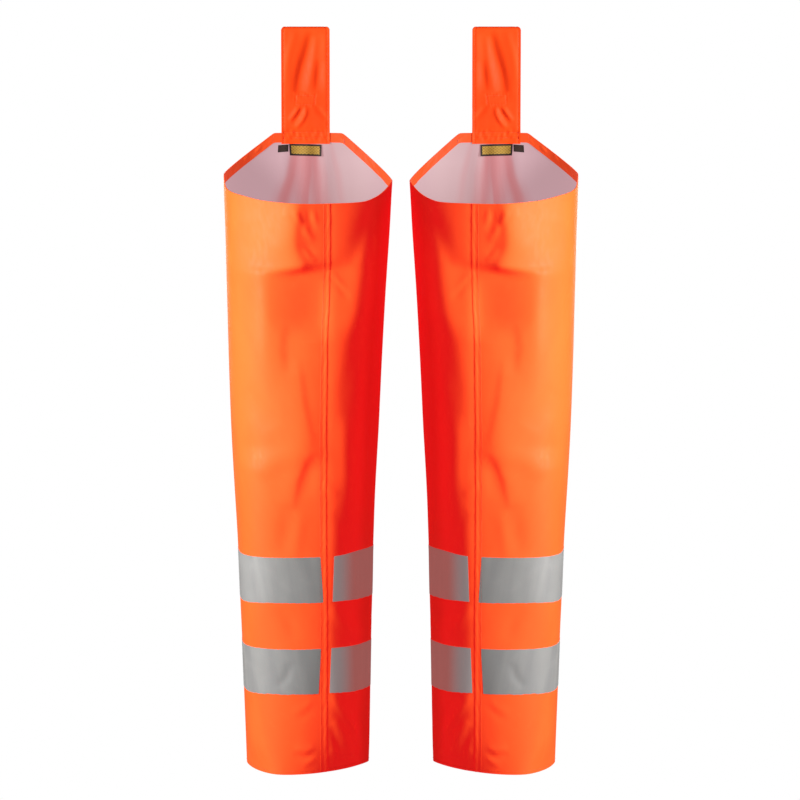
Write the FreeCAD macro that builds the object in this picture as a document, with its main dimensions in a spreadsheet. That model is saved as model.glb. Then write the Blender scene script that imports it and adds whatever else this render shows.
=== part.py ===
"""A pair of high-visibility over-trouser leggings, worn on a waist belt.

Each legging is a tapering tube of coated fabric, cut higher on the hip side. A wide strap is sewn
inside the high side. It goes up, over the belt and down behind itself, where hook and loop holds it.

Frame: millimetres, +X along the belt, +Y from the inner leg to the hip, +Z up. The origin is on the
belt line, midway between the two belt loops.
"""
import FreeCAD, Part
import os

import Sketcher

doc = FreeCAD.newDocument("leggings")
sheet = doc.addObject("Spreadsheet::Sheet", "dims")

SIDES = {"left": -1, "right": 1}

# How the tube tapers: height, full width, and distance of its centre line from the mirror plane.
# The first and last stations lie past the cloth, so that every layer is trimmed by the same cuts.
STATIONS = {
    "crown": (-110, 260, 142),
    "corner": (-205, 260, 142),
    "thigh": (-389, 243, 145.5),
    "knee": (-560, 230, 148.5),
    "band_one_top": (-771.5, 209, 148),
    "band_one_base": (-841.5, 205.5, 147.5),
    "band_two_top": (-915, 201, 146.5),
    "band_two_base": (-985, 197.5, 146),
    "hem": (-1112.5, 190.5, 145.5),
    "below": (-1131, 189.5, 145.5),
}

SIZES = {
    # the tube's section is an ellipse, this much less deep than it is wide
    "depth_share": 0.85,
    "tube_axis": 110.7,
    "cloth_thickness": 1.0,
    # the rim: a raised trapezoid on the hip side, and a hollow on the inner-leg side
    "panel_top": -137.4,
    "panel_outer_run": 56,
    "panel_inner_run": 52,
    "rim_dip": 27.5,
    "facing_drop": 15,
    "hem_fold": 18,
    # layers sewn or sealed to the cloth, and the gap that keeps two layers apart
    "layer_gap": 0.1,
    "facing_thickness": 0.6,
    "seam_tape_thickness": 0.3,
    "lap_thickness": 0.8,
    "band_thickness": 0.4,
    "label_thickness": 0.5,
    "thread_size": 0.3,
    "thread_row": 0.7,
    # the inner-leg seam, measured from the mirror plane
    "seam_line": 115.5,
    "lap_width": 9.5,
    "seam_tape_width": 22,
    "band_gap": 18.5,
    "hem_row_rise": 4.6,
    # the strap and its belt loop
    "strap_centre": 148,
    "strap_width": 75,
    "strap_thickness": 1.2,
    "strap_top": 24,
    "belt_gap": 8,
    "root_level": -133,
    "root_clearance": 0.7,
    "anchor_base": -154.5,
    "edge_row_inset": 3.8,
    "anchor_row_one": -136.6,
    "anchor_row_two": -145.2,
    # the closure
    "patch_width": 30,
    "patch_height": 15.5,
    "patch_level": -86.5,
    "patch_thickness": 1.6,
    "patch_clearance": 0.3,
    "flap_straight_base": -30,
    "flap_mating_top": -72,
    "flap_end": -100,
    "flap_clearance": 0.4,
    # the labels
    "label_width": 51,
    "label_height": 18,
    "label_top": -155,
    "label_centre": 148.5,
    "size_label_width": 16,
    "size_label_height": 11,
    "size_label_top": -156,
    "size_label_centre": 182.8,
    # further than the cloth reaches, for the solids that only trim it
    "reach": 200,
}

# Where each layer lies: its outer and inner face, outwards from the cloth's outer face.
OUTER_GAP = "dims.layer_gap"
INNER_GAP = "-dims.cloth_thickness - dims.layer_gap"
LINING = f"{INNER_GAP} - dims.facing_thickness - dims.layer_gap"
LAP_TOP = f"{OUTER_GAP} + dims.lap_thickness"
ANCHOR_TOP = f"{LINING} - dims.strap_thickness"
LAP_ROW = f"{LAP_TOP} + dims.layer_gap"
ANCHOR_ROW = f"{ANCHOR_TOP} - dims.layer_gap"
LAYERS = {
    "cloth": ("0", "-dims.cloth_thickness"),
    "facing": (INNER_GAP, f"{INNER_GAP} - dims.facing_thickness"),
    "seam_tape": (INNER_GAP, f"{INNER_GAP} - dims.seam_tape_thickness"),
    "lap": (LAP_TOP, OUTER_GAP),
    "band": (f"{OUTER_GAP} + dims.band_thickness", OUTER_GAP),
    "lap_thread": (f"{LAP_ROW} + dims.thread_size", LAP_ROW),
    "hem_thread": (f"{OUTER_GAP} + dims.thread_size", OUTER_GAP),
    "anchor": (LINING, ANCHOR_TOP),
    "label": (LINING, f"{LINING} - dims.label_thickness"),
    "anchor_thread": (ANCHOR_ROW, f"{ANCHOR_ROW} - dims.thread_size"),
}


def fill_sheet():
    """One row for each driving dimension: its name, its value, and the name again as its alias."""
    cells = dict(SIZES)
    for station, (level, width, centre) in STATIONS.items():
        cells[station + "_level"] = level
        cells[station + "_width"] = width
        cells[station + "_centre"] = centre
    for row, (name, value) in enumerate(cells.items(), start=1):
        sheet.set(f"A{row}", name)
        sheet.set(f"B{row}", str(value))
        sheet.setAlias(f"B{row}", name)
    doc.recompute()


def add(kind, name, **expressions):
    """A new object whose properties follow the sheet. A double underscore stands for a full stop."""
    item = doc.addObject(kind, name)
    for key, expression in expressions.items():
        item.setExpression(key.replace("__", "."), expression)
    return item


def boolean(kind, name, base, tool):
    item = doc.addObject(kind, name)
    item.Base = base
    item.Tool = tool
    return item


def cut(name, base, tool):
    return boolean("Part::Cut", name, base, tool)


def common(name, base, tool):
    return boolean("Part::Common", name, base, tool)


def fuse(name, pieces):
    item = doc.addObject("Part::MultiFuse", name)
    item.Shapes = pieces
    return item


def block(name, centre_x, width, low_y, depth, low_z, height):
    """A box centred on centre_x, and reaching back and up from low_y and low_z."""
    return add(
        "Part::Box",
        name,
        Length=width,
        Width=depth,
        Height=height,
        Placement__Base__x=f"{centre_x} - ({width}) / 2",
        Placement__Base__y=low_y,
        Placement__Base__z=low_z,
    )


def draw_outline(sketch, corners):
    """A closed ring of straight lines in a sketch. Each corner is a pair of expressions."""
    count = len(corners)
    arm = FreeCAD.Vector(100, 0, 0)
    for index in range(count):
        # any open ring will do here, because the constraints place every corner
        start = FreeCAD.Rotation(FreeCAD.Vector(0, 0, 1), 360 * index / count)
        end = FreeCAD.Rotation(FreeCAD.Vector(0, 0, 1), 360 * (index + 1) / count)
        sketch.addGeometry(Part.LineSegment(start.multVec(arm), end.multVec(arm)))
    for index, (across, up) in enumerate(corners):
        before = (index - 1) % count
        sketch.addConstraint(Sketcher.Constraint("Coincident", before, 2, index, 1))
        for kind, expression in (("DistanceX", across), ("DistanceY", up)):
            number = sketch.addConstraint(Sketcher.Constraint(kind, -1, 1, index, 1, 10.0))
            sketch.setExpression(f"Constraints[{number}]", expression)


def strip(name, centre_x, width, corners):
    """A PartDesign body: an outline of (back, up) corners in the YZ plane, padded along X."""
    body = doc.addObject("PartDesign::Body", name)
    sketch = body.newObject("Sketcher::SketchObject", name + "_profile")
    planes = {plane.Role: plane for plane in body.Origin.OriginFeatures if hasattr(plane, "Role")}
    sketch.AttachmentSupport = (planes["YZ_Plane"], [""])
    sketch.MapMode = "FlatFace"
    draw_outline(sketch, corners)
    pad = body.newObject("PartDesign::Pad", name + "_pad")
    pad.Profile = sketch
    pad.Midplane = True
    pad.setExpression("Length", width)
    body.setExpression("Placement.Base.x", centre_x)
    return body


class Legging:
    """The sub-parts of one legging. sign is -1 for the left one and 1 for the right one."""

    def __init__(self, side):
        self.side = side
        self.sign = SIDES[side]
        self.tubes = {}
        self.rings = {}
        self.parts = []

    def named(self, name):
        return f"{self.side}_{name}"

    def at(self, distance):
        """The X of something at that distance from the mirror plane."""
        return f"{self.sign} * ({distance})"

    def keep(self, item, name):
        """Marks an object as a sub-part, and labels it with the node's name."""
        item.Label = self.named(name)
        self.parts.append(item)

    def tube(self, outset):
        """A solid tapering tube through every station, with its surface moved out by outset."""
        if outset in self.tubes:
            return self.tubes[outset]
        number = len(self.tubes)
        sections = []
        for station in STATIONS:
            half = f"dims.{station}_width / 2"
            ellipse = add(
                "Part::Ellipse",
                self.named(f"section_{number}_{station}"),
                MajorRadius=f"{half} + ({outset})",
                MinorRadius=f"{half} * dims.depth_share + ({outset})",
                Placement__Base__x=self.at(f"dims.{station}_centre"),
                Placement__Base__y="-dims.tube_axis",
                Placement__Base__z=f"dims.{station}_level",
            )
            sections.append(ellipse)
        loft = doc.addObject("Part::Loft", self.named(f"tube_{number}"))
        loft.Sections = sections
        loft.Solid = True
        loft.Ruled = True
        self.tubes[outset] = loft
        return loft

    def ring(self, layer):
        """The hollow tube between the two faces of one layer."""
        if layer not in self.rings:
            outside, inside = LAYERS[layer]
            name = self.named(f"{layer}_ring")
            self.rings[layer] = cut(name, self.tube(outside), self.tube(inside))
        return self.rings[layer]

    def half_block(self, name, facing_hip, centre_x, width, low_z, height):
        """A box over the hip half or the inner-leg half of the tube."""
        low_y = "-dims.tube_axis" if facing_hip else "-dims.tube_axis - dims.reach"
        return block(self.named(name), centre_x, width, low_y, "dims.reach", low_z, height)

    def envelope(self, name, drop):
        """The space under the rim, lowered by drop: a trapezoid on the hip side, a dip on the other."""
        centre = self.at("dims.corner_centre")
        corner = f"dims.corner_level - ({drop})"
        top = f"dims.panel_top - ({drop})"
        outer_run, inner_run = "dims.panel_outer_run", "dims.panel_inner_run"
        low_run, high_run = (outer_run, inner_run) if self.sign < 0 else (inner_run, outer_run)
        hip = doc.addObject("Sketcher::SketchObject", self.named(name + "_trapezoid"))
        hip.Placement.Rotation = FreeCAD.Rotation(FreeCAD.Vector(1, 0, 0), 90)
        hip.setExpression("Placement.Base.y", "-dims.tube_axis")
        corners = [
            (f"{centre} - dims.reach", "dims.hem_level"),
            (f"{centre} + dims.reach", "dims.hem_level"),
            (f"{centre} + dims.reach", corner),
            (f"{centre} + dims.corner_width / 2", corner),
            (f"{centre} + {high_run}", top),
            (f"{centre} - {low_run}", top),
            (f"{centre} - dims.corner_width / 2", corner),
            (f"{centre} - dims.reach", corner),
        ]
        draw_outline(hip, corners)
        hip_side = doc.addObject("Part::Extrusion", self.named(name + "_hip"))
        hip_side.Base = hip
        hip_side.DirMode = "Custom"
        hip_side.Dir = FreeCAD.Vector(0, 1, 0)
        hip_side.Solid = True
        hip_side.setExpression("LengthFwd", "dims.reach")
        height = f"{corner} - dims.hem_level"
        width = "2 * dims.reach"
        inner = self.half_block(name + "_inner", False, centre, width, "dims.hem_level", height)
        dip = add(
            "Part::Ellipse",
            self.named(name + "_dip_line"),
            MajorRadius="dims.corner_width / 2 + dims.layer_gap",
            MinorRadius="dims.rim_dip",
            Placement__Base__x=centre,
            Placement__Base__y="-dims.tube_axis",
            Placement__Base__z=corner,
        )
        dip.Placement.Rotation = FreeCAD.Rotation(FreeCAD.Vector(1, 0, 0), 90)
        hollow = doc.addObject("Part::Extrusion", self.named(name + "_dip"))
        hollow.Base = dip
        hollow.DirMode = "Custom"
        hollow.Dir = FreeCAD.Vector(0, -1, 0)
        hollow.Solid = True
        hollow.setExpression("LengthFwd", "dims.reach")
        inner_side = cut(self.named(name + "_inner_side"), inner, hollow)
        return fuse(self.named(name), [hip_side, inner_side])

    def piece(self, name, layer, *box):
        """The part of a layer inside a box over the hip or inner-leg half. See half_block."""
        tool = self.half_block(name + "_box", *box)
        item = common(self.named(name), self.ring(layer), tool)
        self.keep(item, name)

    def build_tube(self):
        rim = self.envelope("rim", "0")
        facing_rim = self.envelope("facing_rim", "dims.facing_drop")
        self.keep(common(self.named("shell"), self.ring("cloth"), rim), "shell")
        trimmed = common(self.named("facing_under_rim"), self.ring("facing"), rim)
        facing = cut(self.named("facing"), trimmed, facing_rim)
        centre = self.at("dims.corner_centre")
        outer_run = "dims.panel_outer_run"
        inner_run = "dims.panel_inner_run"
        flat = f"{outer_run} + {inner_run}"
        middle = f"{centre} + {self.sign} * ({outer_run} - {inner_run}) / 2"
        tall = "2 * dims.reach"
        spans = {
            "facing_top": (True, middle, flat),
            "facing_outer_slant": (
                True,
                f"{centre} + {self.sign} * ({outer_run} + dims.reach / 2)",
                "dims.reach",
            ),
            "facing_inner_slant": (
                True,
                f"{centre} - {self.sign} * ({inner_run} + dims.reach / 2)",
                "dims.reach",
            ),
            "facing_inner_leg": (False, centre, tall),
        }
        for name, (facing_hip, middle_x, width) in spans.items():
            low = "dims.corner_level - dims.reach"
            tool = self.half_block(name + "_box", facing_hip, middle_x, width, low, tall)
            self.keep(common(self.named(name), facing, tool), name)
        hem = block(
            self.named("hem_box"),
            centre,
            tall,
            "-dims.tube_axis - dims.reach",
            tall,
            "dims.hem_level",
            "dims.hem_fold",
        )
        self.keep(common(self.named("hem_fold"), self.ring("facing"), hem), "hem_fold")

    def build_seam(self):
        under_rim = "dims.corner_level - dims.rim_dip"
        lap_x = self.at("dims.seam_line + dims.lap_width / 2")
        length = f"{under_rim} - dims.hem_level"
        self.piece("seam_lap", "lap", False, lap_x, "dims.lap_width", "dims.hem_level", length)
        tape_low = "dims.hem_level + dims.hem_fold + dims.layer_gap"
        tape_length = f"{under_rim} - dims.facing_drop - dims.layer_gap - ({tape_low})"
        tape_box = (False, self.at("dims.seam_line"), "dims.seam_tape_width", tape_low, tape_length)
        self.piece("seam_tape", "seam_tape", *tape_box)
        row_x = self.at("dims.seam_line + dims.lap_width - dims.thread_row")
        row_box = (False, row_x, "dims.thread_row", "dims.hem_level", length)
        self.piece("seam_topstitch", "lap_thread", *row_box)

    def build_bands(self):
        gap_x = self.at("dims.seam_line + dims.lap_width - dims.band_gap / 2 + dims.layer_gap")
        tall = "-dims.below_level"
        gap = self.half_block("seam_gap", False, gap_x, "dims.band_gap", "dims.below_level", tall)
        first, second = (
            f"dims.band_{number}_top_level - dims.band_{number}_base_level" for number in ("one", "two")
        )
        levels = {
            "upper_reflective_band": ("band", "dims.band_one_base_level", first),
            "lower_reflective_band": ("band", "dims.band_two_base_level", second),
            "hem_topstitch": ("hem_thread", "dims.hem_level + dims.hem_row_rise", "dims.thread_row"),
        }
        for name, (layer, low, height) in levels.items():
            centre = self.at("dims.hem_centre")
            low_y = "-dims.tube_axis - dims.reach"
            wide = "2 * dims.reach"
            slab = block(self.named(name + "_slab"), centre, wide, low_y, wide, low, height)
            around = common(self.named(name + "_around"), self.ring(layer), slab)
            self.keep(cut(self.named(name), around, gap), name)

    def build_anchor(self):
        """The strap's lower end, sewn inside the hip panel, and the two blank labels under it."""
        strap_x = self.at("dims.strap_centre")
        top = "dims.root_level - dims.root_clearance"
        height = f"{top} - dims.anchor_base"
        self.piece("strap_anchor", "anchor", True, strap_x, "dims.strap_width", "dims.anchor_base", height)
        rows = []
        for row in ("anchor_row_one", "anchor_row_two"):
            width = "dims.strap_width - 2 * dims.edge_row_inset"
            box = (True, strap_x, width, f"dims.{row}", "dims.thread_row")
            tool = self.half_block(row + "_box", *box)
            rows.append(common(self.named(row), self.ring("anchor_thread"), tool))
        self.keep(fuse(self.named("anchor_stitching"), rows), "anchor_stitching")
        for name, prefix in (("brand_label_blank", "label"), ("size_label_blank", "size_label")):
            centre = self.at(f"dims.{prefix}_centre")
            low = f"dims.{prefix}_top - dims.{prefix}_height"
            self.piece(name, "label", True, centre, f"dims.{prefix}_width", low, f"dims.{prefix}_height")

    def bend(self, name, radius):
        """Half a cylinder about the top of the belt loop."""
        item = add(
            "Part::Cylinder",
            self.named(name),
            Radius=radius,
            Height="dims.strap_width",
            Placement__Base__x=f"{self.at('dims.strap_centre')} - dims.strap_width / 2",
            Placement__Base__z=BEND_LEVEL,
        )
        item.Angle = 180
        # turns the cylinder's own axes X, Y, Z into Y, Z, X
        item.Placement.Rotation = FreeCAD.Rotation(FreeCAD.Vector(1, 1, 1), 120)
        return item

    def build_strap(self):
        """The front layer and the bend over the belt, with its stitching and the loop patch."""
        strap_x = self.at("dims.strap_centre")
        low = "dims.root_level + dims.root_clearance"
        front = block(
            self.named("strap_front"),
            strap_x,
            "dims.strap_width",
            STRAP_FACE,
            "dims.strap_thickness",
            low,
            f"{BEND_LEVEL} - ({low})",
        )
        outside = self.bend("bend_outside", "dims.belt_gap / 2 + dims.strap_thickness")
        inside = self.bend("bend_inside", "dims.belt_gap / 2")
        bend = cut(self.named("strap_bend"), outside, inside)
        self.keep(fuse(self.named("strap"), [front, bend]), "strap")
        rows = []
        for number, sign in enumerate((-1, 1)):
            inset = "dims.strap_width / 2 - dims.edge_row_inset"
            row = block(
                self.named(f"edge_row_{number}"),
                f"{strap_x} + {sign} * ({inset})",
                "dims.thread_row",
                f"{STRAP_FACE} - dims.layer_gap - dims.thread_size",
                "dims.thread_size",
                low,
                f"{BEND_LEVEL} - ({low})",
            )
            rows.append(row)
        self.keep(fuse(self.named("strap_edge_stitching"), rows), "strap_edge_stitching")
        self.patch("loop_patch", "-dims.belt_gap / 2 + dims.layer_gap")
        row_y = f"{STRAP_FACE} - dims.layer_gap - dims.thread_size"
        outer = self.patch_block("patch_row_outer", row_y, "dims.thread_size", "0")
        inner = self.patch_block("patch_row_inner", row_y, "dims.thread_size", "dims.thread_row")
        frame = cut(self.named("patch_stitching"), outer, inner)
        self.keep(frame, "patch_stitching")

    def patch_block(self, name, low_y, depth, inset):
        """A block of the closure patch's size, made smaller on every side by inset."""
        height = f"dims.patch_height - 2 * ({inset})"
        return block(
            self.named(name),
            self.at("dims.strap_centre"),
            f"dims.patch_width - 2 * ({inset})",
            low_y,
            depth,
            f"dims.patch_level - ({height}) / 2",
            height,
        )

    def patch(self, name, low_y):
        """One half of the closure, with its front face at low_y."""
        self.keep(self.patch_block(name, low_y, "dims.patch_thickness", "0"), name)

    def build_flap(self):
        """The strap's free end: straight behind the belt, then forward to the closure."""
        inner = "dims.belt_gap / 2"
        thick = "dims.strap_thickness"
        corners = [
            (inner, f"{BEND_LEVEL} - dims.flap_clearance"),
            (inner, "dims.flap_straight_base"),
            (FLAP_FACE, "dims.flap_mating_top"),
            (FLAP_FACE, "dims.flap_end"),
            (f"{FLAP_FACE} + {thick}", "dims.flap_end"),
            (f"{FLAP_FACE} + {thick}", "dims.flap_mating_top"),
            (f"{inner} + {thick}", "dims.flap_straight_base"),
            (f"{inner} + {thick}", f"{BEND_LEVEL} - dims.flap_clearance"),
        ]
        strap_x = self.at("dims.strap_centre")
        self.keep(strip(self.named("strap_flap"), strap_x, "dims.strap_width", corners), "strap_flap")
        low_y = f"{FLAP_FACE} - dims.layer_gap - dims.patch_thickness"
        self.patch("hook_patch", low_y)

    def build(self):
        self.build_tube()
        self.build_seam()
        self.build_bands()
        self.build_anchor()
        self.build_strap()
        self.build_flap()
        return self.parts


# The bend's axis, the strap's near face, and the flap's near face where it meets the closure.
BEND_LEVEL = "dims.strap_top - dims.belt_gap / 2 - dims.strap_thickness"
STRAP_FACE = "-dims.belt_gap / 2 - dims.strap_thickness"
FLAP_FACE = "-dims.belt_gap / 2 + 2 * dims.layer_gap + 2 * dims.patch_thickness + dims.patch_clearance"


def check(parts):
    """Stops if any object failed, or if a sub-part has no valid solid."""
    for item in doc.Objects:
        if "Invalid" in item.State or "Error" in item.State:
            raise RuntimeError(f"{item.Name} failed: {item.State}")
    for item in parts:
        shape = item.Shape
        if shape.isNull() or not shape.isValid() or not shape.Solids:
            raise RuntimeError(f"{item.Label} has no valid solid")


def main():
    fill_sheet()
    parts = [item for side in SIDES for item in Legging(side).build()]
    doc.recompute()
    check(parts)
    os.makedirs("parts", exist_ok=True)
    for item in parts:
        item.Shape.exportStep(f"parts/{item.Label}.step")
        print(f"{item.Label:32} {len(item.Shape.Solids)} solids {item.Shape.Volume:10.1f} mm3")


main()
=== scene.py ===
"""A pair of high-visibility over-trouser leggings, hung from a belt line by their straps.

All geometry is worked out for the left legging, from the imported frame, and mirrored for the right one.
Lengths are in metres. The inner-leg seam faces -Y and the hip panel is at +Y.

The cloth is a table of points. A column runs down the leg, and its share of the way round is called s:
it is 0 at the middle of the hip and grows by way of the outer side. A row is one height, z.
"""
import bpy
import math
import numpy as np
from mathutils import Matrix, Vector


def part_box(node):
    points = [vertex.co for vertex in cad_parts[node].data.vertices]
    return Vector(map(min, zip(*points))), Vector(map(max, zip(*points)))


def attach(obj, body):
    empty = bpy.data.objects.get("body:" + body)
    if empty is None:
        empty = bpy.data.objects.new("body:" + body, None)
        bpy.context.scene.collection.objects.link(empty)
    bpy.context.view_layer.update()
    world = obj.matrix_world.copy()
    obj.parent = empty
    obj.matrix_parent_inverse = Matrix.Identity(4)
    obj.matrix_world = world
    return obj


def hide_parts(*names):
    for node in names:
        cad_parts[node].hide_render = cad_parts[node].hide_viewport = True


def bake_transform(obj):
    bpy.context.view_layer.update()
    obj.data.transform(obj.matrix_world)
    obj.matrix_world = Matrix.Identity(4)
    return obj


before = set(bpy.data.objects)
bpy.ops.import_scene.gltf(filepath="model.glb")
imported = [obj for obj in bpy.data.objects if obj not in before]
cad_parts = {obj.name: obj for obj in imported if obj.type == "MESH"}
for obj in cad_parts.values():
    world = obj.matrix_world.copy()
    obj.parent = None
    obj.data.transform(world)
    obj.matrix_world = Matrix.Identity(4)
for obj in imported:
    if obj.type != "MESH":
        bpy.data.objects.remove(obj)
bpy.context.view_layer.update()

MM = 0.001
SIDES = ("left", "right")


def box(name):
    """The lowest and highest corner of a CAD node, as arrays."""
    low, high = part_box(name)
    return np.array(low), np.array(high)


# ---------------------------------------------------------------- measures taken from the frame

SHELL_LOW, SHELL_HIGH = box("left_shell")
SLANT_LOW = box("left_facing_outer_slant")[0]
TOP_LOW, TOP_HIGH = box("left_facing_top")
STRAP_LOW, STRAP_HIGH = box("left_strap")
FLAP_LOW, FLAP_HIGH = box("left_strap_flap")
ANCHOR_LOW, ANCHOR_HIGH = box("left_strap_anchor")
LAP_LOW, LAP_HIGH = box("left_seam_lap")
TAPE_LOW, TAPE_HIGH = box("left_seam_tape")
LOOP_LOW, LOOP_HIGH = box("left_loop_patch")
HOOK_LOW, HOOK_HIGH = box("left_hook_patch")
UPPER_LOW, UPPER_HIGH = box("left_upper_reflective_band")
LOWER_LOW, LOWER_HIGH = box("left_lower_reflective_band")
HEM_HIGH = box("left_hem_fold")[1][2]

HEM = SHELL_LOW[2]
PANEL_TOP = SHELL_HIGH[2]
FACING_DROP = TOP_HIGH[2] - TOP_LOW[2]
CORNER = SLANT_LOW[2] + FACING_DROP
AXIS_Y = (SHELL_LOW[1] + SHELL_HIGH[1]) / 2
SEAM_X = LAP_HIGH[0]
STRAP_X = (STRAP_LOW[0] + STRAP_HIGH[0]) / 2
STRAP_HALF = (STRAP_HIGH[0] - STRAP_LOW[0]) / 2
HINGE_Z = (STRAP_LOW[2] + ANCHOR_HIGH[2]) / 2
BEND_Z = FLAP_HIGH[2]

LAP_WIDTH = LAP_HIGH[0] - LAP_LOW[0]
PATCH_Z = (LOOP_LOW[2] + LOOP_HIGH[2]) / 2
PATCH_HALF = (LOOP_HIGH - LOOP_LOW) / 2

# thickness of the cloth and of what is turned over inside it, the gap between, and the strap's thickness
CLOTH = 0.6 * MM
LINING = 0.45 * MM
GAP = 0.08 * MM
STRAP_THICK = 1.1 * MM
FACING_FACE = CLOTH + 2 * GAP + LINING


# ---------------------------------------------------------------- small tools

def smooth(value, low, high):
    """0 below low, 1 above high, and a smooth step between them. low may be the greater one."""
    t = np.clip((np.asarray(value, float) - low) / (high - low), 0, 1)
    return t * t * (3 - 2 * t)


def curve(knots, values, at):
    """A smooth curve through the values, that doesn't swing past them."""
    knots, values, at = (np.asarray(a, float) for a in (knots, values, at))
    step = np.diff(knots)
    slope = (np.diff(values, axis=0).T / step).T
    left, right = slope[:-1], slope[1:]
    same = left * right > 0
    middle = np.where(same, 2 * left * right / np.where(same, left + right, 1), 0)
    tangent = np.concatenate([slope[:1], middle, slope[-1:]])
    at = np.clip(at, knots[0], knots[-1])
    i = np.clip(np.searchsorted(knots, at, side="right") - 1, 0, len(step) - 1)
    h = step[i]
    t = (at - knots[i]) / h
    if values.ndim > 1:
        h, t = h[:, None], t[:, None]
    rise = t * t * (3 - 2 * t)
    start = t * (1 - t) ** 2 * h * tangent[i]
    end = t * t * (t - 1) * h * tangent[i + 1]
    return values[i] * (1 - rise) + values[i + 1] * rise + start + end


def closed_spline(corners, per_corner=48):
    """A closed cubic B-spline with these corners as its control polygon."""
    t = np.linspace(0, 1, per_corner, endpoint=False)[:, None]
    weights = (
        (1 - t) ** 3 / 6,
        (3 * t**3 - 6 * t**2 + 4) / 6,
        (-3 * t**3 + 3 * t**2 + 3 * t + 1) / 6,
        t**3 / 6,
    )
    around = [np.roll(corners, 1 - k, axis=0) for k in range(4)]
    spans = sum(w[None] * a[:, None, :] for w, a in zip(weights, around))
    return spans.reshape(-1, corners.shape[1])


def bell(distance, width):
    """1 at distance 0, falling off over the width to either side."""
    return np.exp(-((distance / width) ** 2))


def waves(a, b, seed, count=5, low=1.0, high=3.0):
    """Seeded sum of plane waves over two arrays, roughly between -1 and 1."""
    chance = np.random.default_rng(seed)
    total = np.zeros(np.broadcast(a, b).shape)
    for _ in range(count):
        turn, phase = chance.uniform(0, 2 * math.pi, 2)
        pitch = chance.uniform(low, high)
        total = total + np.sin(2 * math.pi * pitch * (a * math.cos(turn) + b * math.sin(turn)) + phase)
    return total / count


def stroke(x, z, amount, left, right, path, taper):
    """A fold along a path of (x, z) points, amount high. left and right are its widths to each side,
    as seen going along the path, and it fades at both ends."""
    steps = np.diff(path, axis=0)
    lengths = np.linalg.norm(steps, axis=1)
    travelled = np.concatenate([[0], np.cumsum(lengths)])
    best = np.full(x.shape, np.inf)
    offset, along = np.zeros((2, *x.shape))
    for (ax, az), (ux, uz), length, start in zip(path, steps / lengths[:, None], lengths, travelled):
        t = np.clip((x - ax) * ux + (z - az) * uz, 0, length)
        dx, dz = x - ax - t * ux, z - az - t * uz
        distance = np.hypot(dx, dz)
        nearer = distance < best
        best = np.where(nearer, distance, best)
        offset = np.where(nearer, dx * uz - dz * ux, offset)
        along = np.where(nearer, (start + t) / travelled[-1], along)
    fade = np.sin(math.pi * np.clip(along, 0.001, 0.999)) ** taper
    return amount * fade * bell(best, np.where(offset > 0, right, left))


def folded(x, z, strokes, taper=0.6):
    """The sum of strokes, each as amount, left width, right width and its path's points, in millimetres."""
    x, z = np.broadcast_arrays(x, z)
    rise = np.zeros(x.shape)
    for amount, left, right, *path in strokes:
        rise = rise + stroke(x, z, amount * MM, left * MM, right * MM, np.array(path) * MM, taper)
    return rise


# ---------------------------------------------------------------- the shape of the cloth

# Each corner of the section's control polygon: how far across, from -1 at the outer side to 1 at the
# inner one, and how far back, from -1 at the seam side to 1 at the hip.
HIP_ARC = [(0, 1), (-0.5, 0.98), (-0.88, 0.74), (-1, 0.28)]
INNER_ARC = [(1, 0.25), (0.88, 0.68), (0.5, 0.95)]
# The seam side changes on the way down. Each row is a height in millimetres, and the corners from the
# outer side to the inner one in hundredths: how far across they are, then how far back.
SEAM_SIDE = (
    (-130, (-100, -90, -40, -12, -2, 28, 56, 82, 100), (-20, -62, -95, -105, -101, -91, -79, -58, -10)),
    (-235, (-100, -90, -40, -12, -3, 26, 56, 82, 100), (-18, -63, -96, -105, -100, -90, -77, -57, -6)),
    (-290, (-100, -91, -46, -14, -5, 26, 54, 80, 100), (-15, -64, -96, -105, -99, -89, -77, -60, -4)),
    (-322, (-100, -92, -57, -6, 4, 28, 54, 80, 100), (-13, -62.5, -93.5, -106, -98, -88, -76, -61, -2)),
    (-337, (-100, -92, -62, -46, -8, 26, 56, 82, 100), (-12, -62, -93, -100.5, -91.5, -85.5, -75, -62, 0)),
    (-400, (-100, -91, -61, -45, -8, 26, 58, 80, 100), (-10, -62, -94, -101, -92, -86, -76, -62, 0)),
    (-440, (-100, -91, -60, -42, -6, 26, 58, 76, 100), (-10, -62, -96, -101, -98, -91, -82, -62, 0)),
    (-520, (-100, -90, -62, -34, 4, 28, 60, 77, 100), (-8, -60, -90, -101, -100, -94, -84, -60, 2)),
    (-598, (-100, -90, -62, -26, 6, 28, 59, 77, 100), (-8, -58, -88, -100, -103, -95, -84, -58, 2)),
    (-640, (-100, -92, -72, -46, 0, 28, 58, 76, 100), (-7, -62, -90, -100, -97, -92, -82, -56, 2)),
    (-800, (-100, -94, -72, -44, -5, 26, 48, 70, 100), (-4, -60, -90, -100, -99, -93, -85, -54, 2)),
    (-900, (-100, -94, -74, -44, -5, 24, 46, 72, 100), (-2, -58, -86, -99, -100, -93, -84, -54, 4)),
    (-985, (-100, -94, -74, -42, -5, 22, 48, 74, 100), (0, -54, -82, -99, -102, -92, -84, -52, 6)),
    (-1060, (-100, -92, -70, -42, -5, 22, 48, 74, 100), (0, -52, -84, -100, -101, -90, -79, -46, 8)),
    (-1130, (-100, -84, -58, -40, -6, 22, 42, 72, 100), (2, -50, -92, -103, -96, -80, -62, -34, 10)),
)
SEAM_DEPTHS = [-row[0] / 1000 for row in SEAM_SIDE]
SEAM_CORNERS = [np.ravel(row[1:]) / 100 for row in SEAM_SIDE]
# The fold under the rim runs aslant: shares across the leg, and how much higher it is there.
ASLANT = (
    (-1, -0.60, -0.30, -0.02, 0.20, 0.50, 0.90, 1),
    (0.004, 0.003, 0.001, 0.0, 0.004, 0.008, 0.036, 0.038),
)
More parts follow.
